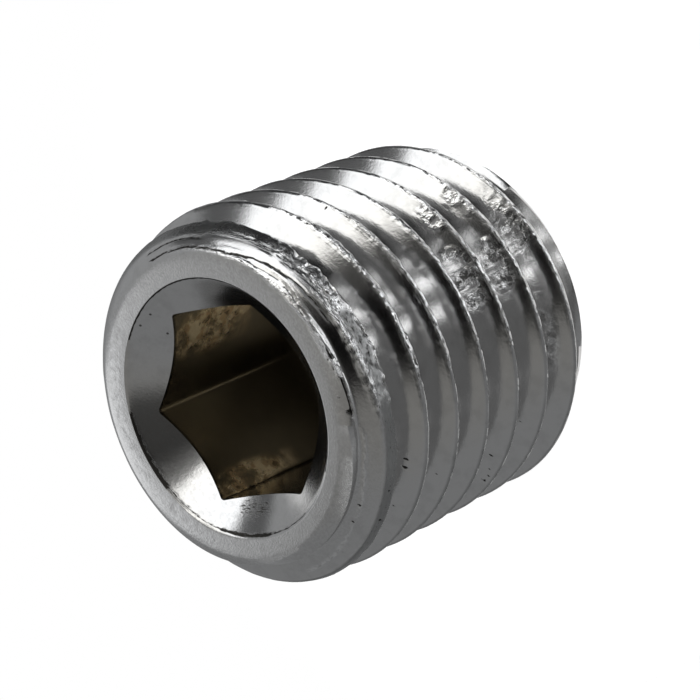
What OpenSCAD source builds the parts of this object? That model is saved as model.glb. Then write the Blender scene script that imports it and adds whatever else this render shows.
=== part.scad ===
// Hex socket plug with a tapered outside thread, standing on its far end.
// Origin at the middle of the far end, +Z up towards the socket face.

/* [Plug] */
// Length from the far end to the socket face
plug_l = 8; // [7:0.5:12]
// Outer diameter of the flat ring around the socket
face_d = 6.5; // [6.2:0.1:6.8]
// Radius that rounds the nose from the ring to the thread
nose_r = 1.25; // [1.1:0.05:1.6]
// Diameter of the flat far end
end_d = 5.6; // [5:0.1:6.4]
// Slope of the far chamfer, measured from the axis
end_angle = 45; // [35:1:60]

/* [Thread] */
// Diameter over full crests, taken at the socket face
thread_d = 8.1; // [7.8:0.05:8.6]
// Length over which the thread narrows by 1 in diameter
taper = 16; // [12:1:60]
// Distance from one crest to the next
pitch = 1; // [0.8:0.05:1.25]
// Angle between the two sides of the groove
groove_angle = 60; // [55:1:60]
// Width of the flat on a full crest
crest_w = 0.06; // [0.04:0.01:0.12]
// Width of the flat at the bottom of the groove
root_w = 0.18; // [0.1:0.01:0.25]
// Turn about the axis at which a crest reaches the socket face
thread_turn = 95; // [0:1:359]

/* [Socket] */
// Distance across the flats of the hexagon
hex_af = 4; // [3:0.1:4.4]
// Depth of the socket's floor below the face
hex_depth = 4.2; // [3:0.1:5.5]
// Diameter of the countersink where it meets the face
mouth_d = 5.54; // [5.2:0.02:6]
// Full angle of the countersink
mouth_angle = 105; // [90:1:120]

/* [Hidden] */
// How far a cut runs past the surface that it opens
over = 0.5;
// Straight steps in one turn of the thread, and in the nose's arc
turn_steps = 48;
nose_steps = 8;

// Change of the crests' radius for each unit of depth
narrowing = 1 / (2 * taper);
taper_angle = atan(narrowing);

// Middle of the nose's arc, which runs into the crests' line without a corner
nose_gap = (thread_d - face_d) / 2 - nose_r / cos(taper_angle);
nose_depth = (nose_gap * narrowing
    + sqrt(pow(nose_r, 2) * (1 + pow(narrowing, 2)) - pow(nose_gap, 2))) / (1 + pow(narrowing, 2));
nose_mid = face_d / 2 + nose_gap - narrowing * nose_depth;
nose_start = atan2(-nose_depth, face_d / 2 - nose_mid);

// Depth at which the far chamfer begins
chamfer_depth = (plug_l * tan(end_angle) - (thread_d - end_d) / 2) / (tan(end_angle) - narrowing);

// Groove: its height below the crests, and its section beyond them
groove_h = (pitch - crest_w - root_w) / 2 / tan(groove_angle / 2);
lip_h = crest_w / 4 / tan(groove_angle / 2);
lip_w = pitch - crest_w / 2;
section = [
    [-root_w / 2, groove_h], [root_w / 2, groove_h],
    [lip_w / 2, -lip_h], [lip_w / 2, -over], [-lip_w / 2, -over], [-lip_w / 2, -lip_h]
];

// Whole turns of the groove, from below the far end to above the face
turns_down = ceil(plug_l / pitch) + 1;
ring_count = turn_steps * (turns_down + 1);

// Radius over the crests at a depth below the socket face
function crestRadius(depth) = thread_d / 2 - depth * narrowing;

// Points of the groove's section where it has turned by `turn` degrees
function grooveRing(turn) =
    let(mid = plug_l + pitch * ((turn - thread_turn) / 360 + 1 / 2))
    [for (corner = section)
        let(z = mid + corner[0], r = crestRadius(plug_l - z) - corner[1])
        [r * cos(turn), r * sin(turn), z]];

// Outline of the blank, as pairs of radius and height
function noseOutline() =
    [for (i = [0:nose_steps])
        let(a = nose_start + (taper_angle - nose_start) * i / nose_steps)
        [nose_mid + nose_r * cos(a), plug_l - nose_depth - nose_r * sin(a)]];

function blankOutline() = concat(
    [[0, 0], [end_d / 2, 0], [crestRadius(chamfer_depth), plug_l - chamfer_depth]],
    [for (i = [nose_steps:-1:0]) noseOutline()[i]],
    [[0, plug_l]]);

module blank() {
    rotate_extrude($fn = 96) polygon(blankOutline());
}

module groove() {
    sides = len(section);
    points = [for (i = [0:ring_count]) each grooveRing(360 * (i / turn_steps - turns_down))];
    walls = [for (i = [0:ring_count - 1], j = [0:sides - 1])
        let(a = i * sides + j, b = i * sides + (j + 1) % sides)
        each [[a, b + sides, b], [a, a + sides, b + sides]]];
    first = [for (j = [0:sides - 1]) j];
    last = [for (j = [sides - 1:-1:0]) ring_count * sides + j];
    polyhedron(points, concat([first, last], walls));
}

module socket() {
    sink_h = (mouth_d - hex_af) / 2 / tan(mouth_angle / 2);
    translate([0, 0, plug_l - hex_depth])
        cylinder(d = hex_af / cos(30), h = hex_depth + over, $fn = 6);
    translate([0, 0, plug_l - sink_h])
        cylinder(d1 = hex_af, d2 = mouth_d, h = sink_h, $fn = 96);
    translate([0, 0, plug_l])
        cylinder(d = mouth_d, h = over, $fn = 96);
}

module plug() {
    color("silver")
        difference() {
            blank();
            groove();
            socket();
        }
}

plug();
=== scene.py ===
import math

import bmesh
import bpy
import numpy as np
from mathutils import Matrix, Vector


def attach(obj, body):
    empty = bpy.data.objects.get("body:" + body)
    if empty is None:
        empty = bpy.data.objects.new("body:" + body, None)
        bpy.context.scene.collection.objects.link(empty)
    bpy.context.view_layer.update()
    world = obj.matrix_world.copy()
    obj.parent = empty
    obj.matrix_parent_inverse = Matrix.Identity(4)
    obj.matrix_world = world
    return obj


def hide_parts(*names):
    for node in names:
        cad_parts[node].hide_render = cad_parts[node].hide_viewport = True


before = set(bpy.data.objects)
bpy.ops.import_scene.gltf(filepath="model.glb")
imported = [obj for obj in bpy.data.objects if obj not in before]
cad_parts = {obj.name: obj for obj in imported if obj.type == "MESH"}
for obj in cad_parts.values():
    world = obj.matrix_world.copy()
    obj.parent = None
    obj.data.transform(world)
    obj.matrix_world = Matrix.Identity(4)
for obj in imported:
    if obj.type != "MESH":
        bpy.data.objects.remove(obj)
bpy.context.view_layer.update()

mm = 0.001  # sizes below are in millimetres
hair = 1e-6  # a difference too small to count


class Wire:  # an output socket that takes part in shader maths
    def __init__(self, sheet, socket):
        self.sheet, self.socket = sheet, socket

    def maths(self, operation, *others):
        values = {i + 1: other for i, other in enumerate(others)}
        return self.sheet.node("ShaderNodeMath", {"operation": operation}, {0: self, **values})

    def __add__(self, other):
        return self.maths("ADD", other)

    def __sub__(self, other):
        return self.maths("SUBTRACT", other)

    def __mul__(self, other):
        return self.maths("MULTIPLY", other)

    def __rsub__(self, other):
        return (self * -1) + other

    __radd__, __rmul__ = __add__, __mul__


class Sheet:  # one node tree and the single way to add a node to it
    def __init__(self, tree):
        self.tree = tree
        tree.nodes.clear()

    def node(self, kind, settings=None, inputs=None, out=0):
        made = self.tree.nodes.new(kind)
        for name, value in (settings or {}).items():
            setattr(made, name, value)
        for name, value in (inputs or {}).items():
            if isinstance(value, Wire):
                self.tree.links.new(value.socket, made.inputs[name])
            else:
                made.inputs[name].default_value = value
        return Wire(self, made.outputs[out]) if made.outputs else None

    def step(self, value, low, high, most=1.0):  # 0 up to low, most from high on
        return self.node("ShaderNodeMapRange", {"interpolation_type": "SMOOTHSTEP"},
                         {0: value, 1: low, 2: high, 4: most})

    def mixColour(self, share, first, second):
        return self.node("ShaderNodeMix", {"data_type": "RGBA"}, {0: share, 6: first, 7: second}, 2)

    def noise(self, place, size, detail, rough):
        return self.node("ShaderNodeTexNoise", {}, {
            "Vector": place, "Scale": 1 / (size * mm), "Detail": detail, "Roughness": rough})

    def attribute(self, name):
        return self.node("ShaderNodeAttribute", {"attribute_name": name}, out=2)

    def metal(self, colour, rough, height, strength):
        bump = self.node("ShaderNodeBump", {}, {
            "Strength": strength, "Distance": 0.02 * mm, "Height": height})
        surface = self.node("ShaderNodeBsdfPrincipled", {}, {
            "Base Color": colour, "Metallic": 1.0, "Roughness": rough, "Normal": bump})
        self.node("ShaderNodeOutputMaterial", {}, {"Surface": surface})


def newMaterial(name):
    made = bpy.data.materials.new(name)
    made.use_nodes = True
    return made, Sheet(made.node_tree)


# the plug as it was turned and threaded; depth is counted down from the socket face
plug = {
    "length": 8.0,
    "faceRadius": 3.25,
    "faceFallsFrom": 2.83,  # radius outside which the face is a hair lower
    "faceRoundsFrom": 3.1,  # and outside which it is rounded over
    "noseRadius": 1.25,
    "endRadius": 2.8,
    "threadRadius": 4.05,
    "narrowing": 1 / 32,
    "pitch": 1.0,
    "flankAngle": 30.0,
    "crestWidth": 0.06,
    "rootWidth": 0.18,
    "rootRound": 0.06,
    "crestRound": 0.045,
    "threadTurn": 95.0,
    "columnsBySide": (48, 48, 56, 108, 140, 96),  # for each side of the hexagon, more where the wear is
    "faceTurn": 7,  # the turn of the thread that runs into the face and has the finer rows
    "sharpFrom": 38.0,  # the angle from which an edge is drawn sharp
}

# rows across one pitch, up from the crest; those at the face are finer
rowSteps = (0, .03, .06, .09, .125, .17, .23, .30, .36, .40, .44, .48, .52, .60, .82, .90, .94, .97)
frontSteps = (0, .02, .04, .06, .08, .10, .12, .135, .15, .165, .18, .195, .21, .225, .24, .26, .28,
              .30, .32, .34, .36, .38, .40, .42, .44) + rowSteps[11:]


def crestRadius(depth):
    return plug["threadRadius"] - depth * plug["narrowing"]


def blankRadius(depth):  # the turned blank before the thread is cut
    slope, tip, bend = plug["narrowing"], plug["faceRadius"], plug["noseRadius"]
    gap = plug["threadRadius"] - tip - bend / math.cos(math.atan(slope))
    mid = (gap * slope + math.sqrt(bend ** 2 * (1 + slope ** 2) - gap ** 2)) / (1 + slope ** 2)
    arc = tip + gap - slope * mid + np.sqrt(np.maximum(bend ** 2 - (mid - depth) ** 2, 0))
    nose = np.where(depth < mid, arc, crestRadius(depth))
    chamfer = plug["endRadius"] + plug["length"] - depth
    return np.minimum(np.minimum(nose, crestRadius(depth)), chamfer)


def faceHeight(radius):  # the face was turned a hair lower towards its edge, and rounded over there
    fallen = 0.035 * np.maximum(radius - plug["faceFallsFrom"], 0)
    return plug["length"] - fallen - 0.3 * np.maximum(radius - plug["faceRoundsFrom"], 0) ** 2


def softMin(a, b, width):
    blend = np.clip(0.5 + 0.5 * (b - a) / width, 0, 1)
    return b + (a - b) * blend - width * blend * (1 - blend)


def softMax(a, b, width):
    return -softMin(-a, -b, width)


def bell(value, centre, width):  # 1 at the centre, 0 from one width away
    near = np.clip(1 - np.abs(value - centre) / width, 0, 1)
    return near * near * (3 - 2 * near)


def ramp(value, low, high):  # 0 up to low, 1 from high on
    part = np.clip((value - low) / (high - low), 0, 1)
    return part * part * (3 - 2 * part)


def fade(value, low, high):  # 1 up to low, 0 from high on
    return ramp(-value, -high, -low)


def between(value, begins, full, weakens, ends):
    return ramp(value, begins, full) * fade(value, weakens, ends)


def grit(x, y, seed):  # smooth random heights from 0 to 1, one cell to a unit
    column, line = np.floor(x), np.floor(y)
    fx, fy = x - column, y - line
    fx, fy = fx * fx * (3 - 2 * fx), fy * fy * (3 - 2 * fy)

    def corner(i, j):
        mixed = np.sin((column + i) * 127.1 + (line + j) * 311.7 + seed * 74.7) * 43758.5453
        return mixed - np.floor(mixed)

    low = corner(0, 0) * (1 - fx) + corner(1, 0) * fx
    high = corner(0, 1) * (1 - fx) + corner(1, 1) * fx
    return low * (1 - fy) + high * fy


# how the thread was torn and marked; turns are degrees round the plug, counted from the side seen
# most, and a side is the turns where the wear begins, is full, weakens and ends
wear = {
    "facing": -107.5,  # where the side seen most is
    "tornSide": (-27.0, 3.0, 40.0, 68.0),
    "firstTornTo": (38.0, 53.0),  # the crest next to the face is whole sooner
    "tornByCrest": (0.9, 1.0, 0.85, 0.72, 0.66, 0.62, 0.6, 0.55, 0.5, 0.4),  # from the socket end
    "tornElsewhere": 0.12,
    "tearHeight": 0.04,
    "nibbleHeight": 0.035,
    "burrHeight": 0.026,
    "burrWidth": 0.052,
    "rearHeight": 0.02,
    "valleyDepth": 0.03,
    "lipSide": (-27.0, 3.0, 75.0, 110.0),
    "lipByCrest": (0.0, 0.10, 0.07, 0.03, 0.02, 0.02, 0.02, 0.02, 0.02, 0.0),
    "dullByCrest": (0.8, 1.0, 0.5, 0.4, 0.4, 0.4, 0.5, 0.7, 0.9, 0.9),
    "dullSide": (25.0, 50.0, 100.0, 130.0),  # this and the next are counted the other way round
    "darkerSide": (50.0, 75.0, 100.0, 125.0),
    "darkerDownTo": (2.2, 2.6),
    "darkerEndFrom": (6.9, 7.3),
    "edgeSide": (-30.0, -5.0, 62.0, 100.0),  # the torn edge of the face
    "edgeTurns": (-30, 0, 20, 33, 42, 59, 90),
    "edgeDepths": (.05, .04, .03, .03, .04, .07, .07),
    "edgeWidth": 0.038,
    "edgeHeight": 0.04,
    "satinDownTo": (0.3, 0.7),
    "scoreWobble": 0.01,
    "scores": (  # turns and depths along the line, how deep, how wide, ridge beside it (with a painted highlight line), painted shade in it
        (((14, .058), (6, .084), (-2, .065), (-10, .112), (-20, .136)), .05, .024, .01, 0.95),
        (((60, .08), (50, .09), (42, .085), (34, .108), (28, .09), (21, .058), (14, .059)),
         .025, .018, .006, .3),
        (((-12, -.01), (-16, .06), (-20, .14)), .03, .022, .0, .8),
        (((-24, .20), (-27, .236), (-39, .264), (-51, .336), (-65, .39), (-79, .48), (-95, .56)),
         .006, .035, .01, 0),
        (((70, .19), (80, .20), (88, .192), (98, .17)), .02, .03, .008, .6),
        (((96, .07), (84, .076), (74, .081), (66, .07), (58, .07), (50, .11), (40, .17), (30, .21),
          (20, .235), (12, .26)), .02, .024, .002, 0.8),
        (((150, .21), (172, .24), (196, .30)), .015, .03, .006, .3),
        (((-24, .03), (-40, .045), (-52, .07), (-62, .08)), .003, .02, .008, 0),
        (((-27, .10), (-40, .115), (-52, .14), (-60, .15)), .003, .02, .007, 0),
    ),
    "galledHeight": 0.08,
    "galled": (  # turn, depth, half length in degrees, half height, strength
        (6, 4.31, 11, 0.14, 0.9), (7, 5.34, 11, 0.14, 0.8), (34, 5.44, 7, 0.12, 0.7),
        (31, 4.41, 6, 0.12, 0.7), (20, 6.35, 12, 0.14, 0.6), (-20, 6.3, 12, 0.12, 0.5),
        (150, 3.4, 16, 0.16, 0.8), (205, 5.2, 14, 0.16, 0.7),
    ),
    "pits": (  # turn, depth, radius
        (-37.7, 1.334, .045), (-40.7, 1.454, .04), (-43.8, 1.453, .045), (-59.9, 1.487, .03),
        (-46, .688, .035), (-57, .70, .04), (-60, .69, .035), (-53.8, .388, .03), (-79.6, .559, .035),
        (-76, .564, .03), (-61.2, .417, .03), (-68.4, 4.65, .04), (-66, 4.66, .03), (-63, 4.6, .03),
        (-57.6, 4.54, .035), (-50.2, 5.49, .035), (48, 2.37, .045), (-52, 2.55, .025), (170, 2.3, .04),
        (140, 4.5, .04), (215, 3.5, .05),
    ),
}


def facingOf(angle):  # the wear's turn for an angle in radians
    return (np.degrees(angle) - wear["facing"] + 180) % 360 - 180


class Spots:  # what holds at each point of the thread; the functions below add to it
    def __init__(self, row, turn):
        self.crest = np.round(row)
        self.across = (row - self.crest) * plug["pitch"]
        self.along = (self.crest + turn / (2 * math.pi)) * 2 * math.pi * 4
        self.facing = facingOf(turn)
        self.tornSide = between(self.facing, *wear["tornSide"])

    def byCrest(self, table):
        return np.array(table)[np.clip(8 - self.crest, 0, 9).astype(int)]

    def gritAlong(self, length, seed):
        return grit(self.along / length, self.along * 0, seed)

    def gritOver(self, length, width, seed):
        return grit(self.along / length, self.across / width, seed)


def threadGrid():  # the helical row, the turn and the height of each point
    turns = math.ceil(plug["length"] / plug["pitch"]) + 1
    rows = np.array([turn + step for turn in range(-1, turns)
                     for step in (frontSteps if turn == plug["faceTurn"] else rowSteps)])
    counts = enumerate(plug["columnsBySide"])
    sides = [np.linspace(side, side + 1, count, endpoint=False) for side, count in counts]
    angle = np.append(np.concatenate(sides), 6) * math.pi / 3
    row, turn = np.meshgrid(rows, angle, indexing="ij")
    whole, steps = np.floor(rows + hair), np.array(rowSteps)
    nearest = np.abs((rows - whole)[:, None] - steps).argmin(axis=1)
    row[:, 0] = row[:, -1] = whole + steps[nearest]  # here the fine rows meet those beside them
    raised = row + turn / (2 * math.pi) - plug["threadTurn"] / 360 - turns + 1
    return row, turn, plug["length"] + plug["pitch"] * raised


def joinSeam(row, arrays):  # the last column takes what the first has one pitch further on
    onward = np.searchsorted(row[:, 0], row[:, -1] + 1 - hair)
    carried = onward < len(row)
    for values in arrays:
        values[carried, -1] = values[onward[carried], 0]


def findTorn(spots):
    torn = spots.byCrest(wear["tornByCrest"])
    torn = torn * (wear["tornElsewhere"] + (1 - wear["tornElsewhere"]) * spots.tornSide)
    nextToFace = spots.crest > plug["faceTurn"] - 0.5
    torn = torn * np.where(nextToFace, fade(spots.facing, *wear["firstTornTo"]), 1)
    return torn * (0.55 + 0.6 * ramp(spots.gritAlong(1.3, 3), 0.25, 0.8))


def lipFall(spots):  # metal pushed over the far side of the crest
    lip = spots.byCrest(wear["lipByCrest"]) * (0.4 + 0.6 * between(spots.facing, *wear["lipSide"]))
    return lip * (0.35 + 0.9 * spots.gritAlong(0.17, 5)) * bell(spots.across, -0.035, 0.1)


def cutThread(spots):  # the blank with its groove, and the land between two turns torn rough
    slope = math.tan(math.radians(plug["flankAngle"]))
    grooveHeight = (plug["pitch"] - plug["crestWidth"] - plug["rootWidth"]) / 2 / slope
    top, blank = crestRadius(spots.depth), blankRadius(spots.depth)
    flank = top - (np.abs(spots.across) - plug["crestWidth"] / 2) / slope
    nibble = spots.torn * wear["nibbleHeight"] * (spots.gritOver(0.075, 0.05, 11) - 0.6)
    flank = flank + nibble * bell(spots.across, 0.03, 0.06)
    radius = softMax(flank, top - grooveHeight, plug["rootRound"])
    spots.rough = spots.gritOver(0.07, 0.03, 13) * 0.5 + spots.gritOver(0.25, 0.02, 14) * 0.5
    spots.edge = np.maximum(top - blank, 0) * slope + plug["crestWidth"] / 2  # half the land's width
    land = ramp(radius, blank - 0.03, blank - 0.005) * fade(np.abs(spots.across + 0.02), 0.12, 0.17)
    spots.land = land * fade(spots.edge, 0.24, 0.3)
    tear = spots.torn * wear["tearHeight"] * (spots.rough - 0.55) * spots.land
    return softMin(radius, blank + tear, plug["crestRound"])


def tearCrest(spots, radius):  # a burr at the front of the land, a ridge at its rear, a valley between
    burr = np.clip(1 - np.abs(spots.across - spots.edge + 0.015) / wear["burrWidth"], 0, 1)
    burr = burr * (0.4 + 1.2 * spots.gritAlong(0.1, 15))
    spots.burr = burr * spots.torn * fade(spots.edge, 0.2, 0.26)
    behind = (spots.edge - spots.across) / (spots.edge + 0.1)  # 0 at the front of the land, 1 behind it
    wideLand = ramp(spots.edge, 0.06, 0.1) * (spots.edge < 0.25) * spots.torn
    spots.valley = bell(behind, 0.45, 0.34) * wideLand * ramp(spots.gritAlong(0.35, 16), 0.15, 0.45)
    spots.rear = bell(behind, 0.82, 0.22) * wideLand * ramp(spots.gritOver(0.11, 0.06, 34), 0.3, 0.6)
    radius = radius + wear["burrHeight"] * spots.burr + wear["rearHeight"] * spots.rear
    return radius - wear["valleyDepth"] * spots.valley


def markCrest(spots):  # where the crest is bright, dull and darker; the bright mask is torn metal with a painted highlight line along the crest's edge, and the valley is painted in shade
    # a painted highlight: a bright line along the crest's edge on the torn side
    paintedEdgeHighlight = spots.tornSide * bell(spots.across, 0.032, 0.036) * ramp(spots.gritAlong(0.25, 31), 0.1, 0.5)
    bright = np.maximum(spots.burr * 1.4, paintedEdgeHighlight)
    bright = np.maximum(spots.torn * spots.land * (0.12 + 0.5 * spots.rough), bright)
    # painted shade in the valley between burr and ridge: it is made less bright here, and duller and darker
    # below
    spots.bright = np.clip(np.maximum(bright * (1 - 0.6 * spots.valley), spots.rear), 0, 1)
    dull = np.maximum(spots.byCrest(wear["dullByCrest"]), 0.85 * between(-spots.facing, *wear["dullSide"]))
    dull = dull * spots.land * (1 - spots.tornSide) * (0.85 + 0.3 * spots.rough)
    spots.dull = np.clip(dull + spots.valley, 0, 1)
    # darker just under each crest on the far side, near the face
    darkened = between(-spots.facing, *wear["darkerSide"]) * fade(spots.depth, *wear["darkerDownTo"])
    darkened = darkened * bell(spots.across, -0.05, 0.08) * ramp(spots.edge, 0.04, 0.08)
    # darker towards the far end, and painted shade in the valley
    spots.soil = np.maximum(0.24 * ramp(spots.depth, *wear["darkerEndFrom"]), 0.34 * spots.valley)
    spots.soil = np.maximum(spots.soil, 0.36 * darkened)


def tearFaceEdge(spots, radius):
    centre = np.interp(spots.facing, wear["edgeTurns"], wear["edgeDepths"])
    band = bell(spots.depth, centre, wear["edgeWidth"]) * between(spots.facing, *wear["edgeSide"])
    coarse = grit(spots.facing / 0.9, spots.depth / 0.025, 17)
    fine = grit(spots.facing / 5, spots.depth / 0.02, 18)
    spots.bright = np.maximum(spots.bright, 0.85 * band)
    return radius + wear["edgeHeight"] * band * (coarse * 0.6 + fine * 0.4 - 0.5)


def cutScores(spots, radius):
    for path, deep, wide, ridge, scoreShade in wear["scores"]:
        turnAt, depthAt = zip(*sorted(path))
        first, last = turnAt[0], turnAt[-1]
        around = np.where(spots.facing < first - 20, spots.facing + 360, spots.facing)
        wobble = wear["scoreWobble"] * (grit(spots.facing / 2.6, spots.facing * 0, 19) - 0.5)
        off = spots.depth - np.interp(around, turnAt, depthAt) - wobble
        inside = between(around, first - 2, first + 2, last - 2, last + 2)
        split = bell(off, 0, wide) * inside
        radius = radius - deep * split + ridge * bell(off, wide + 0.02, 0.04) * inside
        # a painted highlight line beside the score, stronger where its ridge is higher
        besideHighlight = bell(off, wide + 0.015, 0.03) * inside * min(ridge * 40, 0.4)
        spots.bright = np.maximum(spots.bright, besideHighlight)
        # painted shade inside the score
        spots.soil = np.maximum(spots.soil, split * scoreShade)
    return radius


def cutPits(spots, radius):
    for turnTo, depthTo, size in wear["pits"]:
        away = np.hypot((spots.facing - turnTo) * math.pi / 180 * radius, spots.depth - depthTo)
        away = away * (0.75 + 0.5 * spots.gritOver(0.05, 0.04, 21))
        radius = radius - size * 0.7 * bell(away, 0, size * 1.2)
        spots.soil = np.maximum(spots.soil, bell(away, 0, size * 1.25))
    return radius


def gallFlanks(spots, radius):
    ragged = 0.7 * spots.gritOver(0.25, 0.15, 25)
    galled = np.zeros_like(radius)
    for turnTo, depthTo, wide, high, strength in wear["galled"]:
        aside = spots.facing - turnTo
        away = np.hypot(aside / wide, (spots.depth - depthTo + aside / 360) / high)
        galled = np.maximum(galled, strength * ramp(-away + ragged, -0.95, -0.35))
    spots.galled = galled * ramp(spots.gritOver(0.3, 0.22, 33), 0.2, 0.5)
    lumps = spots.gritOver(0.13, 0.12, 23) * 0.75 + spots.gritOver(0.07, 0.07, 24) * 0.25
    return radius + spots.galled * wear["galledHeight"] * (lumps - 0.55)


def threadSurface():
    row, turn, z = threadGrid()
    spots = Spots(row, turn)
    spots.torn = findTorn(spots)
    z = z - lipFall(spots)
    spots.depth = plug["length"] - z
    radius = cutThread(spots)
    radius = tearCrest(spots, radius)
    markCrest(spots)
    radius = tearFaceEdge(spots, radius)
    radius = cutScores(spots, radius)
    radius = cutPits(spots, radius)
    radius = gallFlanks(spots, radius)

    over, under = np.clip(-spots.depth, 0, 0.3), np.clip(-z, 0, 0.3)  # how far past the ends a row is
    radius = np.where(under > 0, plug["endRadius"] - under, radius)  # there it runs in over the face
    radius = np.where(over > 0, plug["faceRadius"] - over, radius)
    z = np.clip(z, 0, plug["length"])
    z = np.where(radius < 3.5, np.minimum(z, faceHeight(radius)), z)
    satinSide = np.maximum(ramp(-spots.facing, -10, 40), ramp(spots.facing, 100, 130))
    satin = fade(spots.depth, *wear["satinDownTo"]) * np.where(spots.depth < 0.01, 1, satinSide)
    # the torn mask also carries painted highlight lines along the crest's edge and beside the scores
    masks = {"torn": spots.bright, "soil": np.clip(spots.soil, 0, 1), "galled": spots.galled,
             "dull": spots.dull, "satin": satin, "along": spots.along, "across": spots.across}
    joinSeam(row, (radius, z, *masks.values()))
    return radius * np.cos(turn), radius * np.sin(turn), z, masks


socket = {
    "mouthRadius": 2.77,
    "mouthAngle": 105.0,
    "hexFlats": 4.0,
    "cornerRound": 0.02,
    "rimRound": 0.018,
    "rimWidened": (0.035, -131, 24),  # by how much, where, and how far to either side
    "rimRings": ((1.3, 0), (1, 0), (0.5, 0.08), (0, 0.28)),  # out and down, in widths of the rim
    "coneRings": (0.06, 0.2, 0.4, 0.6, 0.8, 0.95),  # shares of the way down the countersink
    "edgeRings": (0, 0.05, 0.09),  # depths under the hexagon's edge
    "wallRings": (1.0, 1.5, 2.2, 3.0, 3.6, 4.15, 4.2),  # depths, the last of them the floor's
}


def ringPoint(angle, radius, depth):
    return radius * math.cos(angle), radius * math.sin(angle), plug["length"] - depth


def coneDepth(radius):  # of the countersink
    return (socket["mouthRadius"] - radius) / math.tan(math.radians(socket["mouthAngle"] / 2))


def hexRadius(angle):
    half = socket["hexFlats"] / 2
    side = (angle + 2 * math.pi) % (math.pi / 3) - math.pi / 6
    return min(half / math.cos(side), half / math.cos(math.pi / 6) - socket["cornerRound"])


def rimPoint(out, down):  # on the rounded rim of the mouth, which is widest at the lower left
    more, middle, reach = socket["rimWidened"]

    def place(angle):
        wide = socket["rimRound"] + more * float(bell(facingOf(angle), middle, reach))
        return ringPoint(angle, socket["mouthRadius"] + out * wide, down * wide)

    return place


def conePoint(part):  # a share of the way down the countersink, towards the hexagon's edge
    def place(angle):
        radius = socket["mouthRadius"] * (1 - part) + hexRadius(angle) * part
        return ringPoint(angle, radius, coneDepth(radius))

    return place


def edgePoint(below):
    return lambda angle: ringPoint(angle, hexRadius(angle), coneDepth(hexRadius(angle)) + below)


def wallPoint(depth):
    return lambda angle: ringPoint(angle, hexRadius(angle), depth)


def endPoint(radius):
    return lambda angle: ringPoint(angle, radius, plug["length"])


def editMode(body, on=True):
    bpy.context.view_layer.objects.active = body
    bpy.ops.object.mode_set(mode="EDIT" if on else "OBJECT")


def selectBorder(body, upper):  # the open edge at the socket end or at the far end
    mesh = bmesh.from_edit_mesh(body.data)
    for part in (mesh.verts, mesh.edges, mesh.faces):
        for item in part:
            item.select = False
    for edge in mesh.edges:
        if edge.is_boundary and (edge.verts[0].co.z > plug["length"] / 2 * mm) == upper:
            edge.select_set(True)
    bmesh.update_edit_mesh(body.data)


def growRing(body, place):
    bpy.ops.mesh.extrude_edges_move()
    mesh = bmesh.from_edit_mesh(body.data)
    for vertex in mesh.verts:
        if vertex.select:
            vertex.co = Vector(place(math.atan2(vertex.co.y, vertex.co.x))) * mm
    bmesh.update_edit_mesh(body.data)


def makePlug():
    bpy.ops.object.select_all(action="DESELECT")
    x, y, z, masks = threadSurface()
    rowCount, columnCount = x.shape
    bpy.ops.mesh.primitive_grid_add(x_subdivisions=columnCount - 1, y_subdivisions=rowCount - 1, size=1)
    body = bpy.context.object
    body.name = body.data.name = "threadedPlug"
    places = np.stack([x, y, z], axis=-1).reshape(-1, 3) * mm
    body.data.vertices.foreach_set("co", places.astype(np.float32).ravel())
    for name, values in masks.items():
        mask = body.data.attributes.new(name, "FLOAT", "POINT")
        mask.data.foreach_set("value", values.astype(np.float32).ravel())
    body.data.update()
    editMode(body)
    bpy.ops.mesh.select_all(action="SELECT")
    bpy.ops.mesh.remove_doubles(threshold=1e-6)
    bpy.ops.mesh.select_mode(type="EDGE")
    selectBorder(body, True)
    for out, down in socket["rimRings"]:
        growRing(body, rimPoint(out, down))
    for part in socket["coneRings"]:
        growRing(body, conePoint(part))
    for below in socket["edgeRings"]:
        growRing(body, edgePoint(below))
    for depth in socket["wallRings"]:
        growRing(body, wallPoint(depth))
    bpy.ops.mesh.edge_face_add()
    selectBorder(body, False)
    growRing(body, endPoint(1.5))
    bpy.ops.mesh.edge_face_add()
    bpy.ops.mesh.select_all(action="SELECT")
    bpy.ops.mesh.normals_make_consistent(inside=False)
    editMode(body, False)
    bpy.ops.object.shade_smooth_by_angle(angle=math.radians(plug["sharpFrom"]))
    return body


# the steel; a pattern is its size, detail and roughness, and the other sets of numbers are the
# values between which a mark grows, with its strength where that is not 1
steel = {
    "colour": (0.56, 0.555, 0.55, 1),
    "darkColour": (0.42, 0.415, 0.41, 1),
    "tornAndHighlightColour": (0.96, 0.96, 0.96, 1),
    "dullColour": (0.28, 0.28, 0.277, 1),
    "soilColour": (0.035, 0.033, 0.03, 1),
    "roughness": 0.13,
    "tornRougher": 0.13,
    "dullRougher": 0.15,
    "satinRougher": 0.09,
    "pittedRougher": 0.3,
    "mottlePattern": (0.35, 4, 0.6),
    "grainPattern": (0.05, 3, 0.6),
    "lumpPattern": (0.17, 3, 0.65),
    "streakPattern": (0.15, 3, 0.6),
    "streakSqueeze": 5.0,  # how much finer the streaks are across the crest
    "darkMottle": (0.45, 0.7, 0.35),
    "tornStreaks": (0.42, 0.56),
    "dullStreaks": (0.9, 0.6),
    "satinGrain": (0.6, 0.35, 0.4),
    "galledTops": (0.5, 0.56),
    "tornEnough": (0.3, 0.6),
    "tornPits": (0.46, 0.39, 0.9),
    "galledPits": (0.46, 0.4, 0.95),
    "dullPits": (0.38, 0.3, 0.8),
    "soilPits": (0.3, 0.55),
    "nickEdge": (0.018, 0.04),
    "nickStrength": 0.85,
    "nicks": ((113.5, 2.6), (121.7, 2.66), (120.7, 2.2)),  # turn and radius, in the countersink
}


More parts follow.
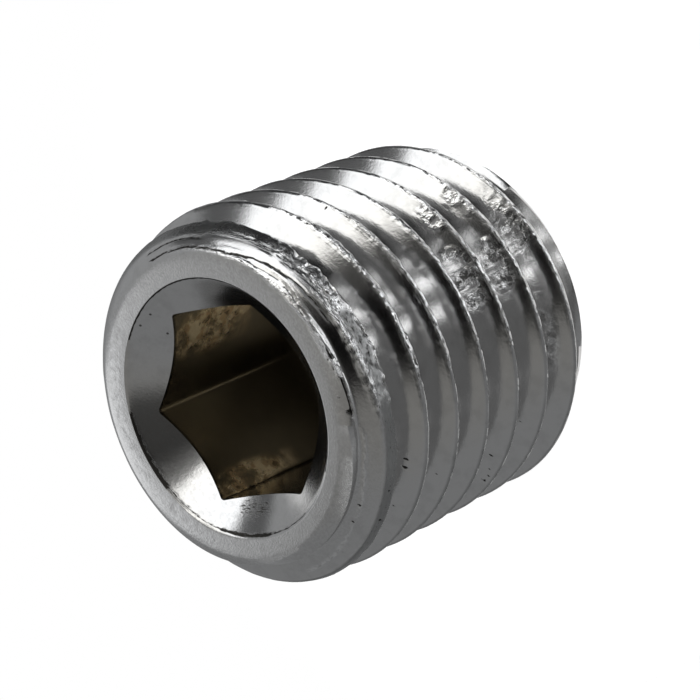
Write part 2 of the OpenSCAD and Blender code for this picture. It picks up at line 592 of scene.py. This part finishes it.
def steelMaterial():
    made, sheet = newMaterial("machinedSteel")
    place = sheet.node("ShaderNodeTexCoord", out=3)
    torn, soil, galled, dull = (sheet.attribute(name) for name in ("torn", "soil", "galled", "dull"))
    satin, along, across = (sheet.attribute(name) for name in ("satin", "along", "across"))
    mottle = sheet.noise(place, *steel["mottlePattern"])
    grain = sheet.noise(place, *steel["grainPattern"])
    lumps = sheet.noise(place, *steel["lumpPattern"])
    squeezed = across * (steel["streakSqueeze"] * mm)
    crestPlace = sheet.node("ShaderNodeCombineXYZ", {}, {0: along * mm, 1: squeezed, 2: 0.0})
    streak = sheet.noise(crestPlace, *steel["streakPattern"])
    colour = sheet.mixColour(sheet.step(mottle, *steel["darkMottle"]), steel["colour"], steel["darkColour"])
    # the torn mask is torn metal and also painted highlight lines along the crest's edge and beside the
    # scores
    colour = sheet.mixColour(torn * sheet.step(streak, *steel["tornStreaks"]), colour, steel["tornAndHighlightColour"])
    colour = sheet.mixColour(dull * sheet.step(streak, *steel["dullStreaks"]), colour, steel["dullColour"])
    colour = sheet.mixColour(satin * sheet.step(grain, *steel["satinGrain"]), colour, steel["darkColour"])
    colour = sheet.mixColour(galled * sheet.step(lumps, *steel["galledTops"]), colour, steel["tornAndHighlightColour"])

    pitted = sheet.step(torn, *steel["tornEnough"]) * sheet.step(streak, *steel["tornPits"])
    pitted = pitted.maths("MAXIMUM", galled * sheet.step(lumps, *steel["galledPits"]))
    pitted = pitted.maths("MAXIMUM", dull * sheet.step(streak, *steel["dullPits"]))
    # this mask is dirt and pits, and also painted shade in the scores, in the crest's valley and along the
    # mouth's rim
    pitted = pitted.maths("MAXIMUM", sheet.step(soil + (streak - 0.5) * 0.8, *steel["soilPits"]))
    nickFrom, nickTo = steel["nickEdge"]
    for turn, away in steel["nicks"]:
        nick = Vector(ringPoint(math.radians(turn + wear["facing"]), away, coneDepth(away))) * mm
        off = sheet.node("ShaderNodeVectorMath", {"operation": "DISTANCE"}, {0: place, 1: nick}, 1)
        marked = steel["nickStrength"] - sheet.step(off, nickFrom * mm, nickTo * mm)
        pitted = pitted.maths("MAXIMUM", marked)
    colour = sheet.mixColour(pitted, colour, steel["soilColour"])

    rough = steel["roughness"] + (mottle - 0.5) * 0.1
    rough = rough + torn * steel["tornRougher"] + pitted * steel["pittedRougher"]
    rough = rough + dull * steel["dullRougher"] + satin * steel["satinRougher"]
    height = grain * (satin * 0.05 + 0.06) + lumps * galled * 1.5
    height = height + streak * (torn * 1.1 + dull * 0.5 + 0.04)
    sheet.metal(colour, rough, height, 1.0)
    return made


socketFinish = {
    "colour": (0.74, 0.705, 0.62, 1),
    "tarnishColour": (0.13, 0.115, 0.09, 1),
    "brownColour": (0.8, 0.61, 0.4, 1),
    "goldColour": (1.0, 0.88, 0.68, 1),
    "pitColour": (0.03, 0.022, 0.015, 1),
    "edgeShadeColour": (0.02, 0.018, 0.015, 1),
    "roughness": 0.18,
    "stainRougher": 0.17,
    "mottlePattern": (0.6, 5, 0.65),  # size, detail and roughness
    "pitPattern": (0.24, 2, 0.5),
    "stainMottle": (0.3, 0.6),
    "goldFlakes": (0.43, 0.56),
    "stainPits": (0.36, 0.3),
    "tarnishedSides": (0, 120),  # the walls between these turns
    "stains": (  # turn, depth, half width, half height, strength
        (18, 1.6, 18, 1.35, 1.0), (113.5, 1.3, 9, 1.3, 0.9),
    ),
    "edgeShadeDownTo": 0.07,  # painted shade, down to this under the hexagon's edge
}


def socketMaterial():
    made, sheet = newMaterial("tarnishedSocket")
    place = sheet.node("ShaderNodeTexCoord", out=3)
    mottle = sheet.noise(place, *socketFinish["mottlePattern"])
    pit = sheet.noise(place, *socketFinish["pitPattern"])
    stain = sheet.attribute("stain") * sheet.step(mottle, *socketFinish["stainMottle"])
    flakes = stain * sheet.step(pit, *socketFinish["goldFlakes"])
    pitted = stain * sheet.step(pit, *socketFinish["stainPits"])
    tarnish, edgeShade = sheet.attribute("tarnish"), sheet.attribute("edgeShade")
    colour = sheet.mixColour(tarnish, socketFinish["colour"], socketFinish["tarnishColour"])
    colour = sheet.mixColour(stain * 0.9, colour, socketFinish["brownColour"])
    colour = sheet.mixColour(flakes, colour, socketFinish["goldColour"])
    colour = sheet.mixColour(pitted, colour, socketFinish["pitColour"])
    # painted shade: a dark band along the top of the walls, under the hexagon's edge
    colour = sheet.mixColour(edgeShade * 0.8, colour, socketFinish["edgeShadeColour"])
    rough = socketFinish["roughness"] + (mottle - 0.5) * 0.15 + stain * socketFinish["stainRougher"]
    sheet.metal(colour, rough, pit * (stain * 2.4 + 0.1), 0.6)
    return made


# the finish of the face and the countersink, its turns counted as in wear
mouth = {
    "radius": 3.2,  # inside this none of the thread's wear is kept
    "faceFrom": 2.8,
    "coneSatin": 0.3,
    "faceGalled": (0.12, 110, 150),  # strength, and the turns between which it grows
    "coneGalled": (0.08, -137, 45),  # strength, turn, half width
    "unshadedRim": (-158, -45),  # turns between which the rim has no painted shade
    "paleRim": (130, 165),
    "darkPatch": (-110, 2.25, 16, 0.3, 0.42),  # turn, radius, half width, half height, strength
}


def mouthGalled(facing, radius):
    if radius > mouth["faceFrom"]:
        strength, low, high = mouth["faceGalled"]
        return strength * ramp(abs(facing), low, high)
    strength, middle, reach = mouth["coneGalled"]
    return strength * bell(facing, middle, reach)


def mouthDarkening(facing, radius, z):  # painted shade on the rim and just under it, and a darker patch further down
    unshadedFrom, unshadedTo = mouth["unshadedRim"]
    paleFrom, paleTo = mouth["paleRim"]
    onRim = z > 7.9 and abs(radius - socket["mouthRadius"]) < 0.01
    # painted shade along the rim, and below it a painted shade line just under the rim
    if onRim and not unshadedFrom < facing < unshadedTo:
        return 0.3 if paleFrom < facing < paleTo else 0.75
    if 2.7 < radius < 2.76 and (facing < -70 or facing > 165):
        return 0.75 if -125 < facing < -95 else 0.6 if abs(facing) > 158 else 0.5
    turnTo, radiusTo, wide, high, strength = mouth["darkPatch"]
    darkPatch = 1 - math.hypot((facing - turnTo) / wide, (radius - radiusTo) / high)
    return min(max(darkPatch, 0), strength) if z < 7.95 else 0


def clearMasks(body):
    names = ("along", "across", "torn", "dull", "satin", "galled", "soil")
    masks = [body.data.attributes[name].data for name in names]
    for vertex, *marks in zip(body.data.vertices, *masks):
        if math.hypot(vertex.co.x, vertex.co.y) < mouth["radius"] * mm and vertex.co.z > 1 * mm:
            x, y, z = vertex.co / mm
            angle, radius = math.atan2(y, x), math.hypot(x, y)
            facing = facingOf(angle)
            satin = 1 if radius > mouth["faceFrom"] else mouth["coneSatin"]
            galled, soil = mouthGalled(facing, radius), mouthDarkening(facing, radius, z)
            for mark, value in zip(marks, (abs(angle) * 3, radius, 0, 0, satin, galled, soil)):
                mark.value = value


def stainSocket(body):
    for name in ("stain", "tarnish", "edgeShade"):
        body.data.attributes.new(name, "FLOAT", "POINT")
    stain, tarnish, edgeShade = (body.data.attributes[name].data for name in ("stain", "tarnish", "edgeShade"))
    first, last = socketFinish["tarnishedSides"]
    for vertex, stained, dark, darkened in zip(body.data.vertices, stain, tarnish, edgeShade):
        x, y, z = vertex.co / mm
        turn, depth = math.degrees(math.atan2(y, x)) % 360, plug["length"] - z
        if math.hypot(x, y) < 2.4 and 0 < depth < 5:
            # painted shade along the top of the walls, under the hexagon's edge
            darkened.value = float(depth - coneDepth(math.hypot(x, y)) < socketFinish["edgeShadeDownTo"])
            dark.value = float(first - 1 < turn < last + 1)
            for turnTo, depthTo, wide, high, strength in socketFinish["stains"]:
                near = max(0, 1 - math.hypot((turn - turnTo) / wide, (depth - depthTo) / high))
                stained.value = max(stained.value, min(1, near * 2.4) * strength)


def dressPlug(body):
    clearMasks(body)
    stainSocket(body)
    body.data.materials.append(steelMaterial())
    body.data.materials.append(socketMaterial())
    wall = socket["hexFlats"] / 2 / math.cos(math.pi / 6) * mm + hair
    for polygon in body.data.polygons:
        middle, upright = polygon.center, abs(polygon.normal.z) < 0.2
        if math.hypot(middle.x, middle.y) < wall and middle.z > 1 * mm:
            if upright or middle.z < (plug["length"] - 3) * mm:
                polygon.material_index = 1


body = makePlug()
dressPlug(body)
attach(body, "root")
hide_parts("plug")
print("plug modelled:", len(body.data.polygons), "faces")


# the camera looks down on the standing plug and is rolled, as the photograph was taken
camera = {
    "aim": (0.086, -0.004, 4.022),
    "turn": -107.54,
    "height": 44.67,
    "roll": 113.59,
    "distance": 99.76,
    "lens": 245.86,
}


def placeCamera():
    turn, height = math.radians(camera["turn"]), math.radians(camera["height"])
    back = Vector((math.cos(turn) * math.cos(height), math.sin(turn) * math.cos(height), math.sin(height)))
    bpy.ops.object.camera_add()
    eye = bpy.context.object
    eye.location = (Vector(camera["aim"]) + back * camera["distance"]) * mm
    eye.rotation_mode = "QUATERNION"
    turned = (-back).to_track_quat("-Z", "Y").to_matrix()
    turned = turned @ Matrix.Rotation(math.radians(-camera["roll"]), 3, "Z")
    eye.rotation_quaternion = turned.to_quaternion()
    eye.data.lens = camera["lens"]
    eye.data.clip_start, eye.data.clip_end = 0.005, 2
    bpy.context.scene.camera = eye


placeCamera()
bpy.context.scene.view_settings.view_transform = "Standard"


# the studio round the plug: each panel by its turn from the camera and its height, in degrees
studio = {
    "tentRadius": 0.3,  # in metres
    "wallLevel": 0.27,
    "panels": [  # turn, height, half width, half height, soft edge, lean, level
        (150, 35, 32, 45, 20, 0, 0.4),
        (-12, 59, 44, 12, 24, 0, 0.06),
        (40, 67, 32, 6, 8, 0, 0.06),
        (-5, 75, 46, 9, 14, 0, 0.0),
        (0, 40, 46, 9, 8, 0, 0.2),
        (0, 7, 21, 10, 8, 0, 0.8),
        (15, 9, 10, 6, 5, 0, 1.1),
        (84, 8, 42, 16, 6, 0, 0.03),
        (50, 15, 20, 9, 6, 0, 0.04),
        (-4, 24, 17, 8, 5, 0, 2.0),
        (22, 31, 14, 5.5, 5, 0, 2.9),
        (86, 45, 28, 16.5, 5, 0, 1.95),
        (118, 54, 24, 15, 9, 1.0, 1.9),
        (121, 23, 10, 15, 5, 0, 0.13),
        (110, 2, 20, 9, 6, 0, 0.05),
        (179, 17, 8.5, 24, 8, 0, 1.25),
        (0, -12, 3.5, 5, 5, 0, 4.3),
        (19, -12, 4.3, 6, 5, 0, 3.7),
        (34, -10, 3.5, 5, 5, 0, 2.1),
        (74, -6, 8, 5, 5, 0, 0.6),
        (-58, 0, 6, 4, 5, 0, 0.7),
    ],
    "warmHeights": (40, 65),  # the light grows a little warmer between these
    "floorRadius": 13.0,
    "floorFade": (0.3, 0.9),  # shares of its radius between which the floor fades away
    "floorColour": (0.86, 0.86, 0.86, 1),
    "floorLift": 0.75,
    "worldLevel": 0.3,
}


def tentMaterial():
    made, sheet = newMaterial("lightTent")
    place = sheet.node("ShaderNodeTexCoord", out=3)
    back = (0, 0, -math.radians(camera["turn"]))
    turned = sheet.node("ShaderNodeMapping", {}, {"Vector": place, "Rotation": back})
    around = sheet.node("ShaderNodeVectorMath", {"operation": "NORMALIZE"}, {0: turned})
    x, y, z = (sheet.node("ShaderNodeSeparateXYZ", {}, {0: around}, out) for out in range(3))
    turn = y.maths("ARCTAN2", x) * (180 / math.pi)
    height = z.maths("ARCSINE") * (180 / math.pi)
    level = studio["wallLevel"]
    for turnTo, heightTo, wide, high, edge, lean, bright in studio["panels"]:
        aside = turn - turnTo if lean == 0 else turn - turnTo - (height - heightTo) * lean
        aside = aside.maths("WRAP", 180, -180).maths("ABSOLUTE")
        across = 1 - sheet.step(aside, wide - edge / 2, wide + edge / 2)
        along = 1 - sheet.step((height - heightTo).maths("ABSOLUTE"), high - edge / 2, high + edge / 2)
        share = across * along
        level = share * bright + (1 - share) * level
    warm = sheet.step(height, *studio["warmHeights"])
    red, blue = level * (warm * 0.03 + 0.98), level * (1.02 - warm * 0.06)
    tone = sheet.node("ShaderNodeCombineColor", {}, {0: red, 1: level, 2: blue})
    glow = sheet.node("ShaderNodeEmission", {}, {"Color": tone, "Strength": 1.0})
    sheet.node("ShaderNodeOutputMaterial", {}, {"Surface": glow})
    return made


def backgroundRays(sheet):  # 1 for the rays that see the background, straight or in metal and glass
    names = ("Is Camera Ray", "Is Glossy Ray", "Is Transmission Ray")
    straight, mirrored, through = (sheet.node("ShaderNodeLightPath", out=name) for name in names)
    return straight.maths("MAXIMUM", mirrored).maths("MAXIMUM", through)


def floorMaterial():
    made, sheet = newMaterial("paleFloor")
    place = sheet.node("ShaderNodeTexCoord", out=3)
    away = sheet.node("ShaderNodeVectorMath", {"operation": "LENGTH"}, {0: place}, 1)
    fadeFrom, fadeTo = (part * studio["floorRadius"] * mm for part in studio["floorFade"])
    share = sheet.step(away, fadeFrom, fadeTo)
    paint = sheet.node("ShaderNodeBsdfDiffuse", {}, {"Color": studio["floorColour"]})
    lift = backgroundRays(sheet) * studio["floorLift"]
    glow = sheet.node("ShaderNodeEmission", {}, {"Color": (1, 1, 1, 1), "Strength": lift})
    lit = sheet.node("ShaderNodeAddShader", {}, {0: paint, 1: glow})
    clear = sheet.node("ShaderNodeBsdfTransparent")
    mixed = sheet.node("ShaderNodeMixShader", {}, {0: share, 1: lit, 2: clear})
    sheet.node("ShaderNodeOutputMaterial", {}, {"Surface": mixed})
    return made


def makeTent():
    bpy.ops.object.select_all(action="DESELECT")
    bpy.ops.mesh.primitive_uv_sphere_add(segments=48, ring_count=24, radius=studio["tentRadius"])
    tent = bpy.context.object
    tent.name = "lightTent"
    tent.data.materials.append(tentMaterial())
    tent.visible_camera = tent.visible_shadow = False


def makeFloor():
    bpy.ops.object.select_all(action="DESELECT")
    radius = studio["floorRadius"] * mm
    bpy.ops.mesh.primitive_circle_add(vertices=96, radius=radius, fill_type="NGON")
    floor = bpy.context.object
    floor.name = "paleFloor"
    floor.data.materials.append(floorMaterial())


def whitenWorld():  # full white where the background is seen, dimmer where it only lights
    world = bpy.data.worlds.new("plainWhite")
    bpy.context.scene.world = world
    world.use_nodes = True
    sheet = Sheet(world.node_tree)
    level = backgroundRays(sheet) * (1 - studio["worldLevel"]) + studio["worldLevel"]
    white = sheet.node("ShaderNodeBackground", {}, {"Color": (1, 1, 1, 1), "Strength": level})
    sheet.node("ShaderNodeOutputWorld", {}, {"Surface": white})


makeTent()
makeFloor()
whitenWorld()
print("studio set")
